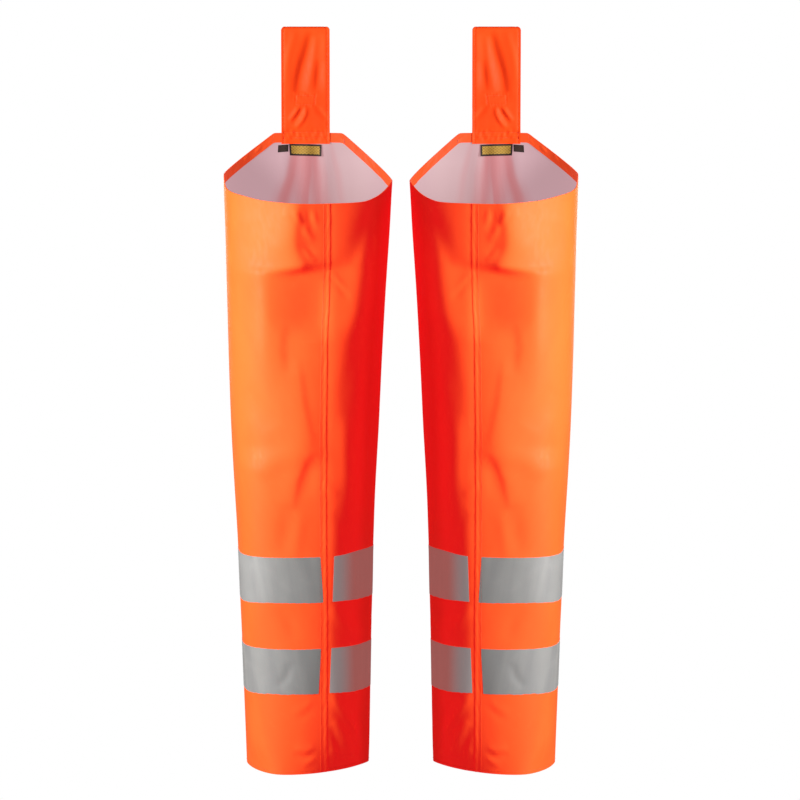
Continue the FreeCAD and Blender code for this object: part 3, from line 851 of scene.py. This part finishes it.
def spaced(count, *dense):
    """Shares from 0 to 1, closer together round each dense place."""
    fine = np.linspace(0, 1, 4001)
    weight = 1 + sum(2.2 * bell(fine - place, 0.018) for place in dense)
    total = np.concatenate([[0], np.cumsum((weight[1:] + weight[:-1]) / 2)])
    return np.interp(np.linspace(0, total[-1], count), total, fine)


# the way round at each row, the same in every column
GIRTH = np.linalg.norm(np.roll(POINTS, -1, axis=1) - POINTS, axis=-1).sum(axis=1)
GIRTH = np.repeat(GIRTH[:, None], COLUMNS, axis=1)


def arc_uv(s, z):
    """Metres from the seam and metres of height, for a grid of s that may run past 1."""
    part, last = np.mod(s, 1), (COLUMNS - 1) / COLUMNS
    girth = sample(GIRTH, np.zeros_like(s), z)
    inside = sample(ARC, np.minimum(part, last - 1e-6), z)
    beyond = np.where(part > last, (part - last) * girth, 0)
    return np.stack([inside + beyond + np.floor(s) * girth, z], axis=-1)


def on_cloth(s, z, outer, inner, wrap=False, inner_paint=0):
    """A layer of the leg between two lifts from the cloth's outer face, over a grid of s and z."""
    columns = s.shape[1] - wrap
    faces = (cloth(s[:, :columns], z[:, :columns], lift) for lift in (outer, inner))
    return slab(*faces, arc_uv(s, z), wrap=wrap, inner_paint=inner_paint)


def shell():
    """The tube, closed along the seam: orange outside, and the coating inside."""
    s = SEAM_SHARE + 1e-6 + spaced(200, 0, 1)
    top = rim(s)
    t = np.linspace(0, 1, 220)[:, None]
    z = top * (1 - t) + HEM * t
    s = np.repeat(s[None], len(t), axis=0)
    return on_cloth(s, z, 0, -CLOTH, wrap=True, inner_paint=1)


def facing(start, end, lean_start=0.0, lean_end=0.0):
    """The facing under the rim, from one s to another. The leans slant its mitred ends."""
    q = np.linspace(0, 1, max(int(abs(end - start) * 800), 24))[None]
    t = np.linspace(0, 1, 12)[:, None]
    s = (start + lean_start * t) * (1 - q) + (end + lean_end * t) * q
    above_rim = 0.1 * MM
    z = rim(s) + above_rim - (FACING_DROP + above_rim) * t
    puckers = np.maximum(waves(s * 26, t * 0.9, 23, 6, 0.6, 2.0), 0)
    puckers = puckers * smooth(t, 0.02, 0.4) * smooth(t, 1.25, 0.6)
    roll = GAP * (1 + 3 * bell(t - 1, 0.08)) + 2.6 * MM * puckers
    return on_cloth(s, z, -CLOTH - roll, -CLOTH - roll - LINING)


def s_across(target, seam_side):
    """s where the rim passes a share across the leg, from -1 at the outer side to 1 at the inner one."""
    column = np.arange(COLUMNS)
    side = column[ON_SEAM_SIDE == seam_side]
    if not seam_side:
        side = np.concatenate([side[side > COLUMNS / 2] - COLUMNS, side[side < COLUMNS / 2]])
        side = side[::-1]
    return np.interp(target, ACROSS[side % COLUMNS], side) / COLUMNS


S_OUTER = int(np.argmin(ACROSS)) / COLUMNS
S_INNER = int(np.argmax(ACROSS)) / COLUMNS
S_HIP_OUTER = s_across(PANEL_RUNS[1], False)
S_HIP_INNER = s_across(PANEL_RUNS[2], False)
LEGGING = {"ride": "legging"}


def seam_line(z, offset):
    """s on the seam side, at an offset across from the seam."""
    z = np.asarray(z, float)
    return s_at(seam_x(z.ravel()).reshape(z.shape) + offset, z, 0.28, 0.80)


def band(low, high, left_end, right_end, slip, seed):
    """A reflective band round the leg, between its two cut ends beside the seam. Each end is its top and
    low corner's offset from the seam. slip is how far the upper and the lower edge are out of level, at
    the outer and inner side for each. Ends and slips are in millimetres."""
    t = np.linspace(0, 1, 26)[:, None]
    q = np.linspace(0, 1, 300)[None]
    level = high * (1 - t) + low * t
    left, right = (seam_line(level, (top * (1 - t) + foot * t) * MM) for top, foot in (left_end, right_end))
    s = right * (1 - q) + (left + 1) * q
    chance = np.random.default_rng(seed)
    ragged = chance.normal(0, 1, s.shape[1])
    ragged = np.convolve(ragged, np.ones(3) / 3, mode="same")
    sag = waves(s[0] * 3.0, 0 * s[0], seed, 4, 0.8, 2.2)
    edge = smooth(t, 0.75, 1.0) * (0.7 * ragged + 1.0 * sag) - smooth(t, 0.2, 0.0) * 0.25 * ragged
    across = np.interp(np.mod(s, 1), np.arange(COLUMNS + 1) / COLUMNS, np.append(ACROSS, ACROSS[0]))
    outer, inner = smooth(across, -0.45, -1), smooth(across, 0.3, 1)
    slips = [outer * a + inner * b for a, b in slip]
    z = level + (edge * 0.6 + slips[0] * (1 - t) + slips[1] * t) * MM
    return on_cloth(s, z, 0.42 * MM, 0.12 * MM)


def lap():
    """The seam's upper layer: sealed down along its topstitch, and standing up a little at its fold."""
    z = np.linspace(rim(SEAM_SHARE) - 0.3 * MM, HEM + 0.2 * MM, 420)[:, None]
    q = np.linspace(0, 1, 15)[None]
    wander = 0.5 * MM * waves(z * 5, 0 * z, 21, 4, 0.6, 2.0)
    offset = -LAP_WIDTH + wander + q * (LAP_WIDTH + wander)
    left, right = (seam_line(z, offset[:, [k]]) for k in (0, -1))
    s = left * (1 - q) + right * q
    z, q = np.broadcast_arrays(z, q)
    puckers = waves(z / 0.05, q * 0.6, 22, 7, 1.6, 7.0)
    body = 0.25 + 0.55 * smooth(q, 0.45, 0.85)
    lift = (body + 0.24 * puckers * smooth(q, 0.0, 0.35)) * smooth(q, -0.04, 0.05) * MM
    lift = np.maximum(lift, 0.12 * MM)
    uv = np.stack([offset + 0 * z, z], axis=-1)
    return slab(cloth(s, z, lift), cloth(s, z, 0.04 * MM), uv)


def row_on_cloth(s, z, lift):
    """Stitches along a line of s and z, on a layer at that lift."""
    return stitches(cloth(s, z, lift), sample(NORMALS, s, z))


def seam_tape():
    """The film welded over the seam inside."""
    z = np.linspace(TAPE_HIGH[2], TAPE_LOW[2], 180)[:, None]
    q = np.linspace(0, 1, 13)[None]
    half = (TAPE_HIGH[0] - TAPE_LOW[0]) / 2
    s, z = np.broadcast_arrays(seam_line(z, -half) * (1 - q) + seam_line(z, half) * q, z)
    return on_cloth(s, z, -CLOTH - GAP, -CLOTH - GAP - 0.15 * MM)


def hem_fold():
    """The hem, turned up inside."""
    level = np.linspace(HEM_HIGH, HEM + 0.3 * MM, 10)[:, None]
    s, z = np.broadcast_arrays(np.linspace(0, 1, 241)[None], level)
    return on_cloth(s, z, -CLOTH - GAP, -CLOTH - GAP - LINING, wrap=True)


def leg_pieces():
    """All that moves with a legging's own body."""
    both("shell_cloth", shell(), [ORANGE, COATING], "orange_cloth", ["shell"], **LEGGING)
    lean, gap = 0.004, 0.0001
    facings = {
        "facing_top": (S_HIP_INNER + gap, S_HIP_OUTER - gap, -lean, lean),
        "facing_outer_slant": (S_HIP_OUTER + gap, S_OUTER - gap, lean, 0.0),
        "facing_inner_leg": (S_OUTER + gap, S_INNER - gap, 0.0, 0.0),
        "facing_inner_slant": (S_INNER + gap, S_HIP_INNER + 1 - gap, 0.0, -lean),
    }
    for name, span in facings.items():
        both(f"{name}_cloth", facing(*span), [TRIM], "orange_cloth", [name], **LEGGING)
    both("hem_fold_cloth", hem_fold(), [TRIM], "orange_cloth", ["hem_fold"], **LEGGING)
    both("seam_lap_cloth", lap(), [ORANGE], "orange_cloth", ["seam_lap"], **LEGGING)
    both("seam_tape_film", seam_tape(), [SEALING], "seam_sealing_tape", ["seam_tape"], **LEGGING)

    z = np.linspace(rim(SEAM_SHARE) - 2 * MM, HEM + MM, 900)
    row = row_on_cloth(seam_line(z, 0.7 * MM - LAP_WIDTH), z, 0.28 * MM)
    both("seam_topstitch_thread", row, [DARK_THREAD], "orange_thread", ["seam_topstitch"], **LEGGING)
    s = np.linspace(SEAM_SHARE + 0.001, SEAM_SHARE + 0.985, 1200)
    row = row_on_cloth(s, np.full(s.shape, HEM + 4.9 * MM), 0.0)
    both("hem_thread", row, [THREAD], "orange_thread", ["hem_topstitch"], **LEGGING)

    upper_foot, lower_foot = UPPER_LOW[2] - MM, LOWER_LOW[2] - 0.5 * MM
    bands = {
        "upper": (upper_foot, UPPER_HIGH[2], (-8.8, -4.6), (12, 9.6), ((0, 2), (-3, -4)), 31),
        "lower": (lower_foot, LOWER_HIGH[2], (-8.4, -12), (7.4, 4.6), ((0, -3), (-3, -5.5)), 32),
    }
    for name, measures in bands.items():
        nodes = [f"{name}_reflective_band"]
        both(f"{name}_band_tape", band(*measures), [TAPE], "reflective_tape", nodes, **LEGGING)


# ---------------------------------------------------------------- the strap

FRONT_Y = STRAP_LOW[1]
BEND = -FRONT_Y
CREST_Z = BEND_Z + BEND
ANCHOR_Z = ANCHOR_LOW[2]
ROWS_Z = ANCHOR_HIGH[2] - 2.9 * MM, ANCHOR_HIGH[2] - 11.5 * MM
EDGE_ROW = STRAP_HALF - 3.8 * MM
# the turn over the belt: angles from the crest to where the strap hangs straight
TURN = np.linspace(math.pi / 2, 0, 10)

# The strokes of the strap's front, from its middle and its height.
STRAP_CREASES = [
    (-4.6, 15, 8, (13, 18), (6, -3), (1, -20), (-5, -38), (-9.5, -56), (-12, -76), (-13, -92)),
    (1.0, 7, 6, (-14, 20), (-24, -8), (-31, -36), (-33, -70)),
    (-2.2, 8, 5, (22, -24), (21, -36), (19.5, -50), (18, -64), (16, -76)),
    (1.5, 6, 6, (17, 10), (12, -20), (8, -50), (3, -76)),
    (2.2, 3.5, 4, (-6.5, -93), (-14, -104), (-25, -119)),
    (2.2, 3.5, 4, (1, -96), (0, -108), (-5, -118), (-15, -131)),
    (-1.4, 4, 4, (-5, -97), (-9, -108), (-20, -124)),
    (-1.3, 4, 5, (14, -93), (22, -103), (34, -117)),
    (0.9, 6, 6, (33, 6), (32, -30), (33, -70)),
    (-0.8, 5, 5, (-31, 0), (-33, -40), (-32, -80)),
]


def strap_creases(a, z):
    """How far the strap's front is pushed forward, over arrays of distance from its middle and height."""
    return folded(a, z, STRAP_CREASES) + 0.35 * MM * waves(a / 0.030, z / 0.050, 43, 6, 0.6, 2.0)


def strap_pull(a, z):
    """Small dips and puckers along the stitch rows."""
    dip = -0.6 * bell(abs(a) - EDGE_ROW, 1.1 * MM)
    across = smooth(abs(a), EDGE_ROW + 2 * MM, EDGE_ROW - MM)
    for level in ROWS_Z:
        puckers = waves(a / 0.012, z / 0.03, 41, 5, 0.8, 2.4)
        dip = dip + (0.7 * bell(z - level, 4.5 * MM) * puckers - 0.9 * bell(z - level, 1.6 * MM)) * across
    out = np.maximum(abs(a) - PATCH_HALF[0], abs(z - PATCH_Z) - PATCH_HALF[2])
    puckers = waves(a / 0.010, z / 0.02, 42, 5, 0.8, 2.2)
    return (dip - 0.45 * bell(out, 1.3 * MM) + 0.55 * bell(out, 4 * MM) * puckers) * MM


def over_belt(points, level):
    """The strap is pulled up a little over the belt, and its corners are rounded at the crest. level is
    each point's height on the cloth."""
    radius, pull = 6 * MM, 3.4 * MM
    above = np.clip((level - (CREST_Z - radius)) / radius, 0, 1)
    share = 1 - radius / STRAP_HALF * (1 - np.sqrt(1 - 0.97 * above**2))
    x, y, z = np.moveaxis(points, -1, 0)
    z = z + pull * smooth(z, BEND_Z - 60 * MM, CREST_Z)
    return np.stack([STRAP_X + (x - STRAP_X) * share, y, z], axis=-1)


def strap_surface():
    """The strap's front face, from its crest over the belt down to its sewn end inside the panel."""
    level = np.linspace(BEND_Z, ANCHOR_Z, 170)[1:]
    down = np.concatenate([BEND_Z + BEND * np.sin(TURN), level])
    y = np.concatenate([-BEND * np.cos(TURN), np.full(len(level), FRONT_Y)])[:, None]
    across = np.linspace(-STRAP_HALF, STRAP_HALF, 66)
    a, z = np.meshgrid(across, down)
    on_panel = down < PANEL_TOP + 20 * MM
    s = np.zeros(a.shape)
    s[on_panel] = hip_side_s(STRAP_X + a[on_panel], np.minimum(z[on_panel], PANEL_TOP - 0.1 * MM))
    panel_y = cloth(s, np.minimum(z, PANEL_TOP), -FACING_FACE - STRAP_THICK - 0.5 * MM)[..., 1]
    share = smooth(z, PANEL_TOP + 14 * MM, PANEL_TOP - 1 * MM) * on_panel[:, None]
    points = np.stack([STRAP_X + a, y * (1 - share) + panel_y * share, z], axis=-1)
    off_patch = np.maximum(abs(a) - 15 * MM, abs(z - PATCH_Z) - 8 * MM)
    loose = smooth(z, PANEL_TOP - 4 * MM, PANEL_TOP + 16 * MM) * smooth(z, CREST_Z, BEND_Z - 12 * MM)
    loose = loose * (0.25 + 0.75 * smooth(off_patch, -2 * MM, 8 * MM))
    rise = strap_creases(a, z) * loose + strap_pull(a, z)
    return Surface(across, -down, over_belt(points + normals_of(points) * rise[..., None], z))


def flap_surface():
    """The strap's free end, from the crest down behind the belt to the closure."""
    straight, mating = -30 * MM, -72 * MM
    closed_y = HOOK_HIGH[1] + 0.1 * MM + STRAP_THICK
    level = np.linspace(BEND_Z, FLAP_LOW[2], 110)[1:]
    closing = smooth(level, straight, mating)
    y = np.concatenate([BEND * np.cos(TURN), BEND * (1 - closing) + closed_y * closing])
    z = np.concatenate([BEND_Z + BEND * np.sin(TURN), level])
    down = np.concatenate([[0], np.cumsum(np.hypot(np.diff(y), np.diff(z)))])
    across = np.linspace(-STRAP_HALF, STRAP_HALF, 60)
    a, travelled = np.meshgrid(across, down)
    # seen from behind, so the columns run the other way
    points = np.stack(np.broadcast_arrays(STRAP_X - a, y[:, None], z[:, None]), axis=-1)
    loose = smooth(travelled, 6 * MM, 24 * MM) * smooth(travelled, down[-1], down[-1] - 45 * MM)
    rise = 1.1 * MM * loose * waves(a / 0.075, travelled / 0.16, 51, 5, 0.5, 1.6)
    rise = rise - 0.4 * MM * bell(abs(a) - EDGE_ROW, 1.3 * MM)
    points = points + normals_of(points) * rise[..., None]
    return Surface(across, down, over_belt(points, points[..., 2]))


def surface_slab(surface, thickness):
    """A closed sheet under a surface."""
    inner = surface.points - surface.normals * thickness
    across, down = np.meshgrid(surface.across, surface.down)
    return slab(surface.points, inner, np.stack([across, -down], axis=-1))


def pad(low, high):
    """A closure patch: a thin block with rounded corners and a slightly crowned face."""
    q = np.linspace(-1, 1, 25)
    a, t = np.meshgrid(q, q)
    corner = 1 - 0.035 * (abs(a) * abs(t)) ** 6
    x = STRAP_X + a * corner * PATCH_HALF[0]
    z = (low[2] + high[2]) / 2 - t * corner * (high[2] - low[2]) / 2
    crown = (1 - np.maximum(abs(a), abs(t)) ** 8) * 0.2 * MM
    front = np.stack([x, low[1] - crown + 0.2 * MM, z], axis=-1)
    back = np.stack([x, np.full(x.shape, high[1]), z], axis=-1)
    return slab(front, back, np.stack([x, z], axis=-1))


def label(low, high, extent, tilt, curl, lift):
    """A small label, sewn on by its top edge. It curls away from the panel at its foot."""
    width, height = extent
    across, down = np.meshgrid(np.linspace(0, 1, 40), np.linspace(0, 1, 18))
    lean = math.sin(math.radians(tilt))
    x = low[0] + across * width + down * height * lean
    z = high[2] - down * height - (across - 0.5) * width * lean
    s = hip_side_s(x, np.minimum(z, PANEL_TOP - 0.2 * MM))
    away = lift + curl * down**2 + 0.35 * MM * waves(across, down * 0.5, 61, 4, 0.5, 1.4) * down
    uv = np.stack([across * width, (1 - down) * height], axis=-1)
    return slab(cloth(s, z, -away - 0.35 * MM), cloth(s, z, -away), uv)


def strap_pieces():
    """The strap with its flap, closure and threads, and the labels beside its foot."""
    front, flap = strap_surface(), flap_surface()
    hinge = (STRAP_X, 0.0, HINGE_Z + 9 * MM), (STRAP_X, 0.0, HINGE_Z - 4 * MM)
    to_leg = {"blend": ("strap", "legging", *hinge)}
    crest = (STRAP_X, 0.0, CREST_Z), (STRAP_X, 0.0, BEND_Z - 8 * MM)
    to_flap = {"blend": ("strap", "flap", *crest)}
    on_strap, on_flap = {"ride": "strap"}, {"ride": "flap"}
    webbing = surface_slab(front, STRAP_THICK), surface_slab(flap, STRAP_THICK)
    both("strap_webbing", webbing[0], [STRAP], "strap_cloth", ["strap", "strap_anchor"], **to_leg)
    both("flap_webbing", webbing[1], [STRAP], "strap_cloth", ["strap_flap"], **to_flap)

    down = np.linspace(-BEND_Z + 2 * MM, -ANCHOR_Z - 3 * MM, 500)
    rows = [front.row(sign * EDGE_ROW, down) for sign in (-1, 1)]
    both("strap_edge_thread", joined(*rows), [THREAD], "orange_thread", ["strap_edge_stitching"], **to_leg)
    rows = [front.row(np.linspace(-EDGE_ROW, EDGE_ROW, 200), -level) for level in ROWS_Z]
    both("anchor_thread", joined(*rows), [DARK_THREAD], "orange_thread", ["anchor_stitching"], **LEGGING)
    half_a, _, half_z = PATCH_HALF - 0.4 * MM
    across, down = np.linspace(-half_a, half_a, 80), np.linspace(-half_z, half_z, 50)
    rows = [front.row(across, -PATCH_Z + sign * half_z) for sign in (-1, 1)]
    rows += [front.row(sign * half_a, -PATCH_Z + down) for sign in (-1, 1)]
    both("patch_thread", joined(*rows), [THREAD], "orange_thread", ["patch_stitching"], **on_strap)

    both("loop_pad", pad(LOOP_LOW, LOOP_HIGH), [LOOPS], "loop_tape", ["loop_patch"], **on_strap)
    both("hook_pad", pad(HOOK_LOW, HOOK_HIGH), [HOOKS], "hook_tape", ["hook_patch"], **on_flap)

    shape = label(*BRAND_BOX, 1.5, 2.2 * MM, FACING_FACE + 0.8 * MM)
    both("label_blank_cloth", shape, [BRAND], "woven_label", ["brand_label_blank"], **LEGGING)
    shape = label(*SIZE_BOX, -4.0, 1.0 * MM, FACING_FACE + 0.2 * MM)
    both("size_blank_cloth", shape, [SMALL], "size_label", ["size_label_blank"], **LEGGING)


leg_pieces()
strap_pieces()


# ---------------------------------------------------------------- light, floor and camera

WHITE = (1, 1, 1, 1)
LEG_X = 0.145
MIDDLE = np.array([0.0, AXIS_Y, (STRAP_HIGH[2] + HEM) / 2])


def bright_to_camera(tree, output, shader, kind):
    """The camera sees plain white, and everything else sees the shader."""
    nodes, links = tree.nodes, tree.links
    mix, white = nodes.new("ShaderNodeMixShader"), nodes.new(kind)
    white.inputs["Color"].default_value = WHITE
    links.new(nodes.new("ShaderNodeLightPath").outputs["Is Camera Ray"], mix.inputs[0])
    links.new(shader.outputs[0], mix.inputs[1])
    links.new(white.outputs[0], mix.inputs[2])
    links.new(mix.outputs[0], nodes[output].inputs["Surface"])


def surroundings():
    """A faint even fill, and a pale floor well below the hems."""
    world = bpy.data.worlds.new("studio")
    bpy.context.scene.world = world
    world.use_nodes = True
    fill = world.node_tree.nodes["Background"]
    fill.inputs["Color"].default_value = (1.0, 0.98, 0.97, 1)
    fill.inputs["Strength"].default_value = 0.04
    bright_to_camera(world.node_tree, "World Output", fill, "ShaderNodeBackground")

    bpy.ops.mesh.primitive_plane_add(size=14, location=(0, 0, HEM - 0.25))
    floor = bpy.context.object
    floor.name = "floor"
    pale = Paint("pale_floor", Base_Color=(0.8, 0.8, 0.8), Roughness=0.9)
    bright_to_camera(pale.tree, "Material Output", pale.shader, "ShaderNodeEmission")
    floor.data.materials.append(pale.material)


def aim(item, azimuth, elevation, distance, target):
    """Puts a light or camera at a distance from the target, facing it. Angles are in degrees, and azimuth
    0 is the seam side."""
    azimuth, elevation = math.radians(azimuth), math.radians(elevation)
    flat = math.cos(elevation)
    offset = np.array([math.sin(azimuth) * flat, -math.cos(azimuth) * flat, math.sin(elevation)])
    bpy.context.scene.collection.objects.link(item)
    item.location = target + offset * distance
    item.rotation_euler = Vector(-offset).to_track_quat("-Z", "Y").to_euler()


def softbox(name, azimuth, elevation, distance, size, power, colour, target, receivers=None):
    """An area light. With receivers, it only lights that collection."""
    data = bpy.data.lights.new(name, "AREA")
    data.shape = "RECTANGLE"
    data.size, data.size_y = size
    data.energy = power
    data.color = colour
    lamp = bpy.data.objects.new(name, data)
    aim(lamp, azimuth, elevation, distance, target)
    lamp.light_linking.receiver_collection = receivers


def lights():
    """Each leg has a key light on its outer side, a faint edge light on its inner side, and a light
    behind it that only shows from the back."""
    daylight, rosy, warm = (1.0, 0.98, 0.97), (1.0, 0.80, 0.80), (1.0, 0.98, 0.95)
    for side, sign in (("left", -1), ("right", 1)):
        leg = np.array([sign * LEG_X, AXIS_Y, MIDDLE[2]])
        thigh = leg + (0, 0, 0.30)
        own = COLLECTIONS[side]
        softbox(f"{side}_key", sign * 53, 8, 1.8, (0.6, 0.9), 84, warm, thigh, own)
        softbox(f"{side}_edge", -sign * 97, 5, 2.2, (0.5, 1.8), 3, rosy, leg, own)
        softbox(f"{side}_back", sign * 165, 12, 3.0, (1.6, 1.8), 40, daylight, leg, own)
    softbox("front", 0, 35, 3.5, (2.5, 1.2), 3, daylight, MIDDLE)


def camera():
    """A long lens, a little above the legs' middle."""
    distance, elevation = 6.16, 8.1
    data = bpy.data.cameras.new("camera")
    data.lens, data.sensor_width = 180, 36
    eye = bpy.data.objects.new("camera", data)
    aim(eye, 0, elevation, distance, np.array([-0.0015, AXIS_Y, -0.541]))
    bpy.context.scene.camera = eye


surroundings()
lights()
camera()
bpy.context.scene.view_settings.view_transform = "Standard"
